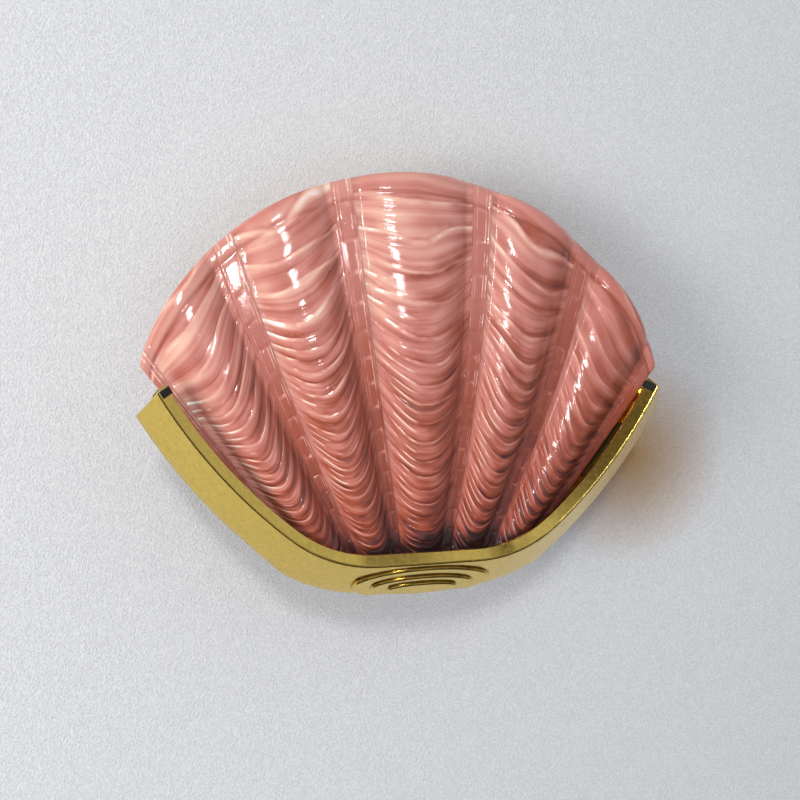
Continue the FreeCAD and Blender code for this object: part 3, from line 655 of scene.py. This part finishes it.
NODE_FINISHES: dict[Finish, tuple[str, ...]] = {
    ZINC: (
        "wall_plate", "carrier_studs", "carrier_washers", "carrier_nuts", "carrier_bracket",
        "carrier_screws", "holder_bracket", "bracket_screws", "nipple_washer", "terminal_screws",
        "block_screws", "earth_tag"),
    BRASS: (
        "holder_nipple", "nipple_nut", "screw_sleeve", "centre_contact", "bulb_contact",
        "terminal_inserts", "earth_screw"),
    GOLD: ("collar",),
    PHENOLIC: ("holder_cap", "holder_body", "bulb_insulator"),
    PORCELAIN: ("contact_insert",),
    NICKEL: ("bulb_cap",),
    FROSTED: ("bulb_glass",),
    STEM_GLASS: ("bulb_stem",),
    TUNGSTEN: ("bulb_filament",),
    NYLON: ("terminal_block",),
    RUBBER: ("cable_grommet", "end_buffers", "seat_cushions"),
    BROWN: ("live_lead",),
    BLUE: ("neutral_lead",),
    EARTH: ("earth_lead",),
}


# ------------------------ glass shell


@dataclass(frozen=True)
class CollarLine:
    """The collar's front edge seen from the front, which the shell's foot follows. Millimetres."""

    low: float = -79.9
    flat_half: float = 28.2
    bend_rad: float = 71.2
    bend_turn: float = math.radians(38.9)
    arm_rad: float = 275.0
    arm_turn: float = math.radians(21.0)

    def outward(self, x: float, z: float) -> float:
        """Distance of a point outside the line; negative inside the shell's field.

        Args:
            x: distance from the middle plane.
            z: height.

        Returns:
            Millimetres, measured square to the line.
        """
        x = abs(x)
        if x < self.flat_half:
            return self.low - z
        bend_z = self.low + self.bend_rad
        turn = math.atan2(x - self.flat_half, bend_z - z)
        if 0 <= turn <= self.bend_turn:
            return math.hypot(x - self.flat_half, z - bend_z) - self.bend_rad
        grown = self.arm_rad - self.bend_rad
        centre_x = self.flat_half - grown * math.sin(self.bend_turn)
        centre_z = bend_z + grown * math.cos(self.bend_turn)
        end = self.bend_turn + self.arm_turn
        turn = math.atan2(x - centre_x, centre_z - z)
        if turn <= end:
            return math.hypot(x - centre_x, z - centre_z) - self.arm_rad
        tip_x = centre_x + self.arm_rad * math.sin(end)
        tip_z = centre_z - self.arm_rad * math.cos(end)
        return (x - tip_x) * math.sin(end) - (z - tip_z) * math.cos(end)


@dataclass(frozen=True)
class Ripples:
    """Growth ripples up the fan. Each is one step wide, in shares of the fan's length."""

    foot_step: float = 0.040
    margin_step: float = 0.041

    @property
    def growth(self) -> float:
        """How fast the ripples widen."""
        return math.sqrt(self.margin_step / self.foot_step)

    def count(self, along: float) -> float:
        """Counts the ripples from the foot."""
        return math.atan(along * self.growth) / math.sqrt(self.margin_step * self.foot_step)

    def row_at(self, share: float) -> float:
        """Spaces the mesh's rows so that each ripple gets the same number of them."""
        return math.tan(share * math.atan(self.growth)) / self.growth


@dataclass
class Relief:
    """The moulding at one place: height in millimetres, tone, place in the pattern, clearness."""

    height: float
    tone: float
    phase: float
    across: float
    rib: float
    clear: float = 1.0


@dataclass(frozen=True)
class FluteMould:
    """The swags pressed across a flute, with painted light and shade on them. Heights are in millimetres.

    A grain holds how fast a noise changes, first by the swags or along the fan and then across.
    """

    seed_step: float = 7.3
    seed_start: int = 5
    hang: float = 0.33
    hang_low: float = 0.12
    slant: float = 0.012
    wander: float = 0.014
    wander_grain: tuple[float, float] = (6.0, 0.8)
    strength: float = 0.55
    strength_grain: tuple[float, float] = (1.7, 0.9)
    edge: Rise = Rise(0.0, 0.22)
    skew: float = 0.62
    crown: float = 0.8
    tall: float = 1.15
    margin_share: float = 0.6
    split_seed: float = 3.1
    split_grain: tuple[float, float] = (2.6, 2.0)
    split_tall: float = 0.22
    tone: float = 0.20
    groove_shade_tone: float = 0.30
    split_tone: float = 0.16
    shaded_right_tone: float = 0.15
    right: Rise = Rise(0.1, 0.9)
    lit_left_tone: float = 0.10
    left: Rise = Rise(0.0, 0.8)
    margin_across: float = 0.3
    margin: Rise = Rise(0.62, 0.9)

    def relief(self, number: int, side: float, across: float, along: float, ripples: Ripples) -> Relief:
        """Height, tone and pattern place at one place of a flute.

        Args:
            number: the flute's number from the middle.
            side: 1 on the fan's right, -1 on its left.
            across: place over the flute.
            along: place along the fan.
            ripples: the spacing of the swags.

        Returns:
            The relief at this place.
        """
        seed = self.seed_step * (number * side + self.seed_start)
        by_along, by_across = self.wander_grain
        wander = noise.noise(Vector((across * by_across, along * by_along, seed)))
        sag = self.hang * (1 - along) * (along + self.hang_low) * (1 - across * across)
        sag += self.slant * across * side
        phase = ripples.count(max(along + sag + self.wander * wander, 0.0))
        cell = math.floor(phase)
        by_swag, by_across = self.strength_grain
        uneven = noise.noise(Vector((seed, cell * by_swag, across * by_across)))
        strong = self.strength + self.strength * uneven
        fade = self.edge.at(1 - abs(across))
        crest = math.sin(math.pi * (phase - cell) ** self.skew) ** self.crown
        low_down = self.margin_share + (1 - self.margin_share) * (1 - along)
        by_swag, by_across = self.split_grain
        split = noise.noise(Vector((seed + self.split_seed, phase * by_swag, across * by_across)))
        height = self.tall * strong * fade * (crest - 0.5) * low_down + self.split_tall * split * fade
        # Painted shade in the grooves and on the flute's right slope, painted light on its left slope.
        tone = self.tone + self.groove_shade_tone * (1 - crest) * fade * strong + self.split_tone * split
        tone += self.shaded_right_tone * self.right.at(across) - self.lit_left_tone * self.left.at(-across)
        swept = across + (self.margin_across - across) * self.margin.at(along)
        return Relief(height, tone, phase + seed, swept, 0.0)


@dataclass(frozen=True)
class RibMould:
    """The ladder pressed into a flat rib. Heights are in millimetres."""

    seed_step: float = 3.7
    seed_side: float = 11.0
    rail: Ridge = Ridge(0.88, 0.12)
    rail_tall: float = 0.45
    tilt_seed: tuple[float, float] = (2.3, 0.5)
    lift_seed: tuple[float, float] = (3.1, 7.5)
    rung_start: Rise = Rise(0.0, 0.12)
    rung_end: Rise = Rise(1.0, 0.88)
    between: Rise = Rise(0.2, 0.45)
    rung_tall: float = 0.30
    tilt_tall: float = 0.9
    lift_tall: float = 0.9
    tone: float = 0.36
    tilt_shade_tone: float = 0.06

    def relief(self, number: int, side: float, across: float, along: float, ripples: Ripples) -> Relief:
        """Two thin rails with a ladder of small tilted facets between them.

        Args:
            number: -1, -2 or -3, from the middle outward.
            side: 1 on the fan's right, -1 on its left.
            across: place over the rib.
            along: place along the fan.
            ripples: the spacing of the swags, which the rungs follow.

        Returns:
            The relief at this place.
        """
        seed = self.seed_step * number + self.seed_side * side
        phase = ripples.count(along)
        rung = phase * RUNGS_PER_SWAG
        cell = math.floor(rung)
        t = rung - cell
        tilt, lift = (noise.noise(Vector((seed, cell * grain, start)))
                      for grain, start in (self.tilt_seed, self.lift_seed))
        step = self.rung_start.at(t) * self.rung_end.at(t)
        facet = self.rung_tall * step + self.tilt_tall * tilt * across + self.lift_tall * lift * (t - 0.5)
        height = self.rail_tall * self.rail.at(abs(across)) + self.between.at(1 - abs(across)) * facet
        # A facet's lean gives it painted shade.
        return Relief(height, self.tone + self.tilt_shade_tone * tilt, phase, across, 1.0)


@dataclass(frozen=True)
class Rim:
    """The plain rim along the margin, with a groove under it. Heights are in millimetres."""

    plain: Rise = Rise(0.93, 0.955)
    step: Rise = Rise(0.945, 0.965)
    step_tall: float = 0.35
    groove: Ridge = Ridge(0.945, 0.006)
    groove_deep: float = 0.4
    tone: float = 0.26
    # The groove under the rim gets painted shade.
    groove_shade_tone: float = 0.16
    roll: Rise = Rise(0.985, 1.0)
    roll_rad: float = 1.7


@dataclass(frozen=True)
class PaintedShade:
    """Painted shade on the glass: the colour darkens low down and toward the right, away from the light.

    Rises over X are in millimetres, and those over the fan's length in its shares.
    """

    side: Rise = Rise(15.0, 120.0)
    side_tone: float = 0.18
    side_flat: float = 0.60
    side_blur: float = 0.5
    low: Rise = Rise(0.35, -0.10)
    low_tone: float = 0.34
    low_blur: float = 0.25
    low_right: Rise = Rise(0.55, 0.05)
    right: Rise = Rise(10.0, 90.0)
    shaded_right_tone: float = 0.16
    lower: Rise = Rise(0.3, 0.95)
    lower_tone: float = 0.24
    foot: Ridge = Ridge(0.0, 0.05)
    foot_middle: Rise = Rise(-70.0, -20.0)
    foot_middle_tone: float = 0.12
    foot_right: Rise = Rise(20.0, 60.0)
    foot_right_tone: float = 0.22
    dark_at: tuple[float, float] = (16.0, -80.0)
    dark_half: tuple[float, float] = (46.0, 15.0)
    dark: Rise = Rise(1.25, 0.2)
    dark_tone: float = 0.46

    def tone(self, where: Vector, along: float, above_foot: float) -> float:
        """Adds up the painted shade here.

        Args:
            where: the point in millimetres.
            along: place along the fan.
            above_foot: the same, counted from the glass's edge in the channel.

        Returns:
            The tone to add to the moulding's own.
        """
        by_foot = self.foot_middle_tone * self.foot_middle.at(where.x)
        by_foot += self.foot_right_tone * self.foot_right.at(where.x)
        tone = self.foot.at(above_foot) * by_foot + self.low_tone * self.low.at(along)
        tone += self.shaded_right_tone * self.right.at(where.x) * self.low_right.at(along)
        tone += self.side_tone * self.side.at(where.x) + self.lower_tone * (1 - self.lower.at(along))
        # A painted dark patch near the foot, where the shaded inside of the collar shows through.
        (dark_x, dark_z), (half_x, half_z) = self.dark_at, self.dark_half
        away = math.hypot((where.x - dark_x) / half_x, (where.z - dark_z) / half_z)
        return tone + self.dark_tone * self.dark.at(away)

    def clearness(self, where: Vector, along: float) -> float:
        """How plainly the painted lines show; they weaken on the right and low down, with the painted
        shade.
        """
        return (1 - self.side_blur * self.side.at(where.x)) * (1 - self.low_blur * self.low.at(along))


@dataclass(frozen=True)
class GlassShell:
    """The fluted fan. Angles in degrees, lengths in millimetres, shares from 0 to 1."""

    fan_z: float = -148.0
    reach: float = 277.0
    reach_drop: float = 0.0302
    corner_start: float = 38.0
    corner_drop: float = 0.25
    foot_z: float = -86.0
    foot_turn: float = 40.0
    lowest_foot: float = -0.2
    front: float = 72.0
    bow: float = 12.0
    bow_x: float = 142.0
    lean: float = 28.0
    belly: float = 1.0
    curved_half: float = 41.0
    wall: float = 4.2
    lobe_rise: float = 8.5
    lobe_power: float = 0.8
    lobe_foot: float = 0.25
    lobe_growth: float = 3.0
    lobe_fall: float = 0.25
    rear_share: float = 0.8
    seat: float = 2.8
    corner_inset: float = 1.2
    foot_ease: Rise = Rise(0.0, 0.03)
    fan_edge: float = 46.0
    crowding: float = 0.3
    bands: tuple[float, ...] = (8.5, 23.8, 40.5)
    band_half: tuple[float, ...] = (2.1, 2.4, 3.0)
    ladder_narrow: float = 0.55
    ripples: Ripples = Ripples()
    flute: FluteMould = FluteMould()
    rib: RibMould = RibMould()
    rim: Rim = Rim()
    # The glass's painted shade.
    depth: PaintedShade = PaintedShade()
    rear_tone: float = 0.3
    columns: int = 312
    rows: int = 248
    rear_coarser: int = 4

    def fan_angle(self, spread: float, along: float) -> float:
        """Ribs crowd outward toward the foot of the shell."""
        share = spread / self.fan_edge
        return spread + self.fan_edge * self.crowding * (1 - along) * math.sin(math.pi * share) / math.pi

    def flute_at(self, spread: float, narrow: float = 1.0) -> tuple[int, float]:
        """Finds which flute or rib a spread lies in.

        Args:
            spread: degrees from the middle, measured at the margin.
            narrow: share of the full width that the ribs have.

        Returns:
            The flute's number and the place across it from -1 to 1, toward the right; ribs give
            a number of -1, -2 or -3 and the place across the rib.
        """
        a, side = abs(spread), math.copysign(1.0, spread)
        low = -self.bands[0] + self.band_half[0] * narrow
        for number, (centre, full_half) in enumerate(zip(self.bands, self.band_half)):
            half = full_half * narrow
            high = centre - half
            if a < high:
                return number, side * (2 * a - low - high) / (high - low)
            if a <= centre + half:
                return -1 - number, side * (a - centre) / half
            low = centre + half
        return len(self.bands), side * clamped((a - low) / (self.fan_edge - low) - 1, -1, 0)

    def lobe_height(self, spread: float, along: float) -> float:
        """How far a flute crowns forward; 0 on the ribs.

        Args:
            spread: degrees from the middle.
            along: place along the fan.

        Returns:
            Millimetres.
        """
        number, across = self.flute_at(spread)
        if not 0 <= number < len(self.bands):
            return 0.0
        crown = (1 - across * across) ** self.lobe_power
        grown = min(1.0, self.lobe_foot + self.lobe_growth * along)
        return self.lobe_rise * crown * grown * (1 - self.lobe_fall * along ** 3)

    def point(self, spread: float, along: float, rear: bool = False) -> Vector:
        """A point of the plain shell before its relief.

        Args:
            spread: degrees from the middle, measured at the margin.
            along: 0 at the foot, 1 at the margin.
            rear: True for the back face.

        Returns:
            The point in millimetres.
        """
        angle = self.fan_angle(spread, along)
        turn = math.radians(angle)
        over = max(0.0, abs(spread) - self.corner_start)
        reach = self.reach - self.reach_drop * spread ** 2 - self.corner_drop * over ** 2
        start = (self.foot_z - self.fan_z) / math.cos(math.radians(min(abs(angle), self.foot_turn)))
        radius = start + (reach - start) * along
        x, z = radius * math.sin(turn), self.fan_z + radius * math.cos(turn)
        curved = max(0.0, 1 - (spread / self.curved_half) ** 2)
        depth = self.front - self.bow * (x / self.bow_x) ** 2 - self.lean * along ** 2 * curved
        depth += self.belly * 4 * along * (1 - along) * curved
        rise = self.lobe_height(spread, along)
        y = -depth + self.wall - self.rear_share * rise if rear else -depth - rise
        return Vector((x, y, z))

    def foot_along(self, spread: float, line: CollarLine) -> float:
        """Finds where the glass ends in the collar's channel, by halving.

        Args:
            spread: degrees from the middle.
            line: the collar line that the foot follows.

        Returns:
            The place along the fan.
        """
        low, high = self.lowest_foot, 1.0
        for _ in range(HALVINGS):
            middle = (low + high) / 2
            where = self.point(spread, middle)
            if line.outward(where.x, where.z) > self.seat:
                low = middle
            else:
                high = middle
        return high

    def corner_spread(self, line: CollarLine) -> float:
        """Finds the spread at which the margin runs into the collar's channel.

        Args:
            line: the collar line.

        Returns:
            Degrees from the middle.
        """
        low, high = self.corner_start, self.fan_edge
        for _ in range(HALVINGS):
            middle = (low + high) / 2
            where = self.point(middle, 1.0)
            if line.outward(where.x, where.z) < self.seat - self.corner_inset:
                low = middle
            else:
                high = middle
        return low

    def shaped(self, spread: float, share: float, foot: float) -> tuple[Vector, Relief]:
        """The finished front surface, with relief and a rounded rim.

        Args:
            spread: degrees from the middle.
            share: 0 at the foot, 1 at the rim's edge.
            foot: where the glass ends in the channel.

        Returns:
            The point in metres and the relief there, with its tone settled.
        """
        along = foot + (1 - foot) * self.ripples.row_at(share)
        where = self.point(spread, along)
        number, across = self.flute_at(spread, self.ladder_narrow)
        mould = self.rib if number < 0 else self.flute
        made = mould.relief(number, 1.0 if spread >= 0 else -1.0, across, along, self.ripples)
        moulded = 1 - self.rim.plain.at(along)
        groove = self.rim.groove.at(along)
        height = made.height * moulded * (1 - self.depth.side_flat * self.depth.side.at(where.x))
        height = height + self.rim.step_tall * self.rim.step.at(along) - self.rim.groove_deep * groove
        where.y -= height * self.foot_ease.at(along - foot)
        turn = self.rim.roll.at(share) * math.pi / 2
        where.y += self.rim.roll_rad * (1 - math.cos(turn))
        # The tone adds painted shade: in grooves, on the right, low down and at the foot.
        tone = made.tone * moulded + self.rim.tone * (1 - moulded) + self.rim.groove_shade_tone * groove
        tone = clamped(tone + self.depth.tone(where, along, along - foot))
        clear = self.depth.clearness(where, along)
        return where * MM, Relief(height, tone, made.phase, made.across, made.rib, clear)

    def sheet(self, mesh: bmesh.types.BMesh, columns: int, rows: int, rear: bool,
              line: CollarLine) -> list[bmesh.types.BMEdge]:
        """Lays one face of the glass from a flat grid.

        Args:
            mesh: the mesh that gets the face.
            columns: faces across the fan.
            rows: faces from foot to margin.
            rear: True for the back face.
            line: the collar line that the foot follows.

        Returns:
            The boundary edges of the face.
        """
        layers = mesh.verts.layers.float
        tint, phase, across, rib, clear = [layers.get(name) or layers.new(name) for name in MARKS]
        made = bmesh.ops.create_grid(mesh, x_segments=columns, y_segments=rows, size=1.0)["verts"]
        edge = self.corner_spread(line)
        feet: dict[int, float] = {}
        for vert in made:
            column = round((vert.co.x + 1) * columns / 2)
            spread = edge * (2 * column / columns - 1)
            if column not in feet:
                feet[column] = self.foot_along(spread, line)
            foot, share = feet[column], (vert.co.y + 1) / 2
            if rear:
                along = foot + (1 - foot) * self.ripples.row_at(share)
                vert.co = self.point(spread, along, rear=True) * MM
                vert[tint] = self.rear_tone
            else:
                vert.co, here = self.shaped(spread, share, foot)
                vert[tint], vert[phase], vert[across] = here.tone, here.phase, here.across
                vert[rib], vert[clear] = here.rib, here.clear
        own = set(made)
        if rear:
            bmesh.ops.reverse_faces(mesh, faces=[face for face in mesh.faces if face.verts[0] in own])
        return [link for link in mesh.edges if link.is_boundary and link.verts[0] in own]

    def build(self, finish: Finish, line: CollarLine) -> bpy.types.Object:
        """Makes the whole glass: relief in front, smooth flutes behind, closed round its edge.

        Args:
            finish: what the glass is made of.
            line: the collar line that its foot follows.

        Returns:
            The glass, riding on the lift-off shade.
        """
        mesh = bmesh.new()
        front = self.sheet(mesh, self.columns, self.rows, False, line)
        coarser = (self.columns // self.rear_coarser, self.rows // self.rear_coarser)
        rear = self.sheet(mesh, *coarser, True, line)
        bmesh.ops.bridge_loops(mesh, edges=front + rear)
        bmesh.ops.recalc_face_normals(mesh, faces=mesh.faces)
        for face in mesh.faces:
            face.smooth = True
        glass = new_object("shell_glass", mesh, finish)
        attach(glass, Body.SHADE.value)
        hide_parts("shell_shade")
        return glass


def placed(name: str, data: bpy.types.ID) -> bpy.types.Object:
    """Puts a mesh, light or camera into the scene.

    Args:
        name: the object's name.
        data: what it shows.

    Returns:
        The object, at the origin.
    """
    made = bpy.data.objects.new(name, data)
    bpy.context.scene.collection.objects.link(made)
    return made


def new_object(name: str, mesh: bmesh.types.BMesh, finish: Finish) -> bpy.types.Object:
    """Turns a finished bmesh into an object at the origin.

    Args:
        name: the piece's name.
        mesh: its shape; it is freed here.
        finish: what it is made of.

    Returns:
        The object, linked to the scene.
    """
    data = bpy.data.meshes.new(name)
    mesh.to_mesh(data)
    mesh.free()
    data.materials.append(finish.build())
    return placed(name, data)


# ------------------------ frame nodes


@dataclass
class FrameNodes:
    """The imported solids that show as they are."""

    nodes: dict[str, bpy.types.Object]

    def dress(self) -> None:
        """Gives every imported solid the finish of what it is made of."""
        for finish, names in NODE_FINISHES.items():
            material = finish.build()
            for name in names:
                materials = self.nodes[name].data.materials
                materials.clear()
                materials.append(material)
                log.info("dressed %s as %s", name, finish.name)


# ------------------------ studio


@dataclass(frozen=True)
class SoftLight:
    """A rectangular soft light. Metres and watts; glossy surfaces show it if it is mirrored."""

    name: str
    at: Triple
    size: tuple[float, float]
    watts: float
    colour: str
    mirrored: bool = True

    def build(self, aim: Vector) -> None:
        """Adds the light, turned toward a point.

        Args:
            aim: the point.
        """
        data = bpy.data.lights.new(self.name, "AREA")
        data.shape = "RECTANGLE"
        data.size, data.size_y = self.size
        data.energy = self.watts
        data.color = srgb(self.colour)[:3]
        light = placed(self.name, data)
        light.location = self.at
        light.visible_glossy = self.mirrored
        light.rotation_euler = (aim - Vector(self.at)).to_track_quat("-Z", "Y").to_euler()


@dataclass(frozen=True)
class Room:
    """The room around the lamp, as its light and as what the polished metal shows.

    The shades run from straight down, over the level at 0.5, to straight up.
    """

    shades: Stops = ((0.0, "2A1C12"), (0.30, "3A2A1C"), (0.36, "B9B4AC"), (0.60, "CFD2D8"),
                     (0.85, "F4F7FC"))
    light: float = 0.66
    furniture: str = "4A3018"
    furniture_grain: float = 3.2
    furniture_edge: Stops = ((0.50, 0.0), (0.58, 0.85))
    backdrop: str = "E6E6E8"

    def build(self) -> None:
        """Makes the world: the room for light and gloss, and a plain backdrop for the camera."""
        world = bpy.data.worlds.new("room")
        bpy.context.scene.world = world
        world.use_nodes = True
        world.node_tree.nodes.clear()
        add = partial(add_node, world.node_tree)
        toward = add(Kind.PLACE).outputs["Object"]
        upward = add(Kind.SEPARATE, links={"Vector": toward}).outputs["Z"]
        share = add(Kind.MATHS, TIMES_PLUS | {1: 0.5, 2: 0.5}, {0: upward})
        walls = add(Kind.RAMP, {"stops": self.shades}, {"Fac": share})
        rays = add(Kind.RAYS)
        clutter = add(Kind.NOISE, {"Scale": self.furniture_grain, "Detail": 1.0}, {"Vector": toward})
        stands = add(Kind.RAMP, {"stops": self.furniture_edge}, {"Fac": clutter})
        shown = add(Kind.MATHS, TIMES, {0: rays.outputs["Is Glossy Ray"], 1: stands})
        furnished = add(Kind.MIX, {"data_type": "RGBA", 7: srgb(self.furniture)}, {0: shown, 6: walls})
        lit = add(Kind.BACKGROUND, {"Strength": self.light}, {"Color": furnished.outputs[2]})
        seen = add(Kind.BACKGROUND, {"Color": srgb(self.backdrop)})
        mix = add(Kind.MIX_SHADER, links={"Fac": rays.outputs["Is Camera Ray"], 1: lit, 2: seen})
        add(Kind.WORLD_OUTPUT, links={"Surface": mix})


@dataclass(frozen=True)
class Studio:
    """Wall, light and camera. Metres and degrees; the lens and its sensor are in millimetres."""

    wall_half: float = 2.2
    azimuth: float = -15.02
    elevation: float = 5.88
    roll: float = 0.63
    distance: float = 0.480
    lens: float = 40.0
    sensor: float = 36.0
    nearest: float = 0.01
    farthest: float = 50.0
    aim: Triple = (-0.01215, -0.066, 0.00545)
    lamps: tuple[SoftLight, ...] = (
        SoftLight("window", (-0.42, -1.7, 1.0), (0.24, 0.32), 10.5, "FFFFFF"),
        SoftLight("left_daylight", (-1.5, -1.0, -0.1), (0.6, 0.8), 18.5, "FFFDF8", mirrored=False),
        SoftLight("low_fill", (-0.5, -1.9, -1.2), (2.2, 1.4), 12.5, "D6E4FF", mirrored=False),
    )

    def wall(self) -> None:
        """Stands a pale painted wall behind the lamp."""
        mesh = bmesh.new()
        turn = Matrix.Rotation(math.pi / 2, 4, "X")
        bmesh.ops.create_grid(mesh, x_segments=1, y_segments=1, size=self.wall_half,
                              matrix=Matrix.Translation((0, PAINT.gap, 0)) @ turn)
        wall = new_object("wall", mesh, PAINT)

    def lights(self) -> None:
        """Daylight from a window on the left, with soft fill from the room."""
        for lamp in self.lamps:
            lamp.build(Vector(self.aim))
        Room().build()

    def camera(self) -> None:
        """Places the camera a little left of and above the lamp."""
        az, el, roll = (math.radians(v) for v in (self.azimuth, self.elevation, self.roll))
        back = Vector((math.sin(az) * math.cos(el), -math.cos(az) * math.cos(el), math.sin(el)))
        data = bpy.data.cameras.new("camera")
        data.lens = self.lens
        data.sensor_width = self.sensor
        data.clip_start, data.clip_end = self.nearest, self.farthest
        camera = placed("camera", data)
        camera.location = Vector(self.aim) + back * self.distance
        level = (-back).to_track_quat("-Z", "Y").to_matrix()
        camera.rotation_euler = (level @ Matrix.Rotation(roll, 3, "Z")).to_euler()
        bpy.context.scene.camera = camera


def main() -> None:
    """Builds the lamp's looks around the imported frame."""
    logging.basicConfig(level=logging.INFO, format="%(name)s: %(message)s")
    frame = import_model()
    FrameNodes(frame["nodes"]).dress()
    glass = GlassShell().build(GLASS, CollarLine())
    log.info("%s has %d faces", glass.name, len(glass.data.polygons))
    studio = Studio()
    studio.wall()
    studio.lights()
    studio.camera()
    bpy.context.scene.view_settings.view_transform = "Standard"


if __name__ == "__main__":
    main()
